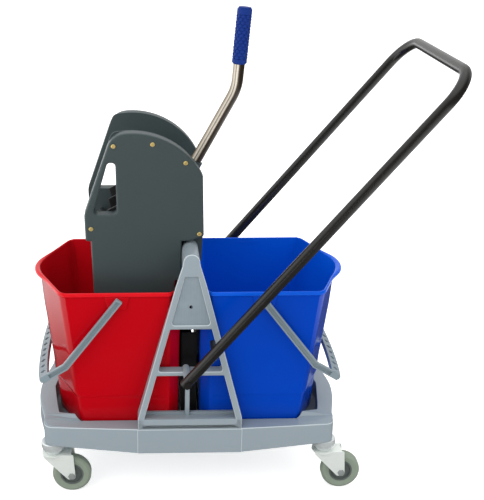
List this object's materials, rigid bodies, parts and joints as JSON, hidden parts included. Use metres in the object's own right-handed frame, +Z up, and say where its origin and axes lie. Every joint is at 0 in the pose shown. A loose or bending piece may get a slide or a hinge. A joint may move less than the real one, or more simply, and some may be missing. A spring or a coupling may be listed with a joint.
{
  "type": "double mop bucket trolley",
  "caption": "Wheeled tray that carries a red and a blue bucket side by side, with a lever press wringer on a bar between A-shaped frames and a black U-shaped push handle.",
  "frame": {"origin": "on the floor, under the middle of the whole part's box", "axes": "+Z up, +X from the red bucket to the blue bucket and the push handle, +Y across the trolley"},
  "size_m": [0.7582, 0.4266, 0.9112],
  "materials": {
    "grey_moulding": "fine moulded grain, satin",
    "red_moulding": "smooth satin polypropylene",
    "blue_moulding": "smooth satin polypropylene",
    "wringer_grey": "dark moulded grain",
    "black_moulding": "black moulded, satin",
    "black_paint": "black powder coat",
    "lever_chrome": "bright chrome",
    "zinc": "zinc plated sheet",
    "steel": "plain turned steel",
    "brass": "yellow zinc",
    "grip_blue": "dotted soft grip",
    "nylon": "natural nylon",
    "tyre_grey": "grey-green thermoplastic rubber",
    "hub_dark": "dark moulded"
  },
  "bodies": {
    "root": {"chassis": "grey_moulding", "near_a_frame": "grey_moulding", "far_a_frame": "grey_moulding", "cross_bar": "grey_moulding", "frame_bolts": "zinc", "handle_pivot_bolts": "black_paint", "handle_spacers": "grey_moulding", "caster_cups": "lever_chrome"},
    "push_handle": {"handle_tube": "black_paint", "handle_plugs": "black_moulding", "handle_stop_pegs": "black_moulding"},
    "blue_bucket": {"blue_bucket": "blue_moulding"},
    "blue_bail": {"blue_bail": "grey_moulding"},
    "red_bucket": {"red_bucket": "red_moulding"},
    "red_bail": {"red_bail": "grey_moulding"},
    "wringer": {"near_cover": "wringer_grey", "far_cover": "wringer_grey", "near_panel": "wringer_grey", "far_panel": "wringer_grey", "rear_hook_wall": "wringer_grey", "press_grid": "black_moulding", "tie_rods": "steel", "cover_screws": "brass", "shaft_bushes": "nylon", "jaw_hinge_rod": "steel", "return_spring": "steel"},
    "lever": {"lever_shaft": "steel", "lever_yoke": "wringer_grey", "press_rollers": "nylon", "lever_tube": "lever_chrome", "lever_grip": "grip_blue"},
    "jaw": {"press_jaw": "black_moulding"},
    "near_left_caster": {"near_left_fork": "zinc", "near_left_axle": "zinc"},
    "near_left_wheel": {"near_left_tyre": "tyre_grey", "near_left_hub": "hub_dark"},
    "near_right_caster": {"near_right_fork": "zinc", "near_right_axle": "zinc"},
    "near_right_wheel": {"near_right_tyre": "tyre_grey", "near_right_hub": "hub_dark"},
    "far_left_caster": {"far_left_fork": "zinc", "far_left_axle": "zinc"},
    "far_left_wheel": {"far_left_tyre": "tyre_grey", "far_left_hub": "hub_dark"},
    "far_right_caster": {"far_right_fork": "zinc", "far_right_axle": "zinc"},
    "far_right_wheel": {"far_right_tyre": "tyre_grey", "far_right_hub": "hub_dark"}
  },
  "joints": [
    {"name": "near_left_swivel", "type": "hinge", "parent": "root", "child": "near_left_caster", "pos_m": [-0.3461, -0.12, 0.09], "axis": [0, 0, 1], "continuous": true},
    {"name": "near_left_roll", "type": "hinge", "parent": "near_left_caster", "child": "near_left_wheel", "pos_m": [-0.3111, -0.12, 0.0375], "axis": [0, 1, 0], "continuous": true},
    {"name": "near_right_swivel", "type": "hinge", "parent": "root", "child": "near_right_caster", "pos_m": [0.1779, -0.12, 0.09], "axis": [0, 0, 1], "continuous": true},
    {"name": "near_right_roll", "type": "hinge", "parent": "near_right_caster", "child": "near_right_wheel", "pos_m": [0.2129, -0.12, 0.0375], "axis": [0, 1, 0], "continuous": true},
    {"name": "far_left_swivel", "type": "hinge", "parent": "root", "child": "far_left_caster", "pos_m": [-0.3461, 0.12, 0.09], "axis": [0, 0, 1], "continuous": true},
    {"name": "far_left_roll", "type": "hinge", "parent": "far_left_caster", "child": "far_left_wheel", "pos_m": [-0.3111, 0.12, 0.0375], "axis": [0, 1, 0], "continuous": true},
    {"name": "far_right_swivel", "type": "hinge", "parent": "root", "child": "far_right_caster", "pos_m": [0.1779, 0.12, 0.09], "axis": [0, 0, 1], "continuous": true},
    {"name": "far_right_roll", "type": "hinge", "parent": "far_right_caster", "child": "far_right_wheel", "pos_m": [0.1429, 0.12, 0.0375], "axis": [0, 1, 0], "continuous": true},
    {"name": "handle_swing", "type": "hinge", "parent": "root", "child": "push_handle", "pos_m": [-0.0921, 0, 0.2713], "axis": [0, 1, 0], "range_deg": [-62, 0]},
    {"name": "blue_bucket_lift", "type": "slide", "parent": "root", "child": "blue_bucket", "axis": [0.225, 0, 0.9744], "range_m": [0, 0.16]},
    {"name": "blue_bail_swing", "type": "hinge", "parent": "blue_bucket", "child": "blue_bail", "pos_m": [0.0494, 0, 0.4075], "axis": [0, -1, 0], "range_deg": [0, 142]},
    {"name": "red_bucket_lift", "type": "slide", "parent": "root", "child": "red_bucket", "axis": [0, 0, 1], "range_m": [0, 0.16]},
    {"name": "red_bail_swing", "type": "hinge", "parent": "red_bucket", "child": "red_bail", "pos_m": [-0.2176, 0, 0.4075], "axis": [0, 1, 0], "range_deg": [0, 110]},
    {"name": "wringer_lift", "type": "slide", "parent": "red_bucket", "child": "wringer", "axis": [0, 0, 1], "range_m": [0, 0.3]},
    {"name": "lever_press", "type": "hinge", "parent": "wringer", "child": "lever", "pos_m": [-0.0946, 0, 0.586], "axis": [0, -1, 0], "range_deg": [-45, 0], "stiffness_Nm_per_rad": 4, "springref_deg": 28.65},
    {"name": "jaw_close", "type": "hinge", "parent": "wringer", "child": "jaw", "pos_m": [-0.1591, 0, 0.345], "axis": [0, -1, 0], "range_deg": [0, 12.38]}
  ],
  "couplings": [
    {"joint": "jaw_close", "follows": "lever_press", "ratio": -0.275}
  ]
}
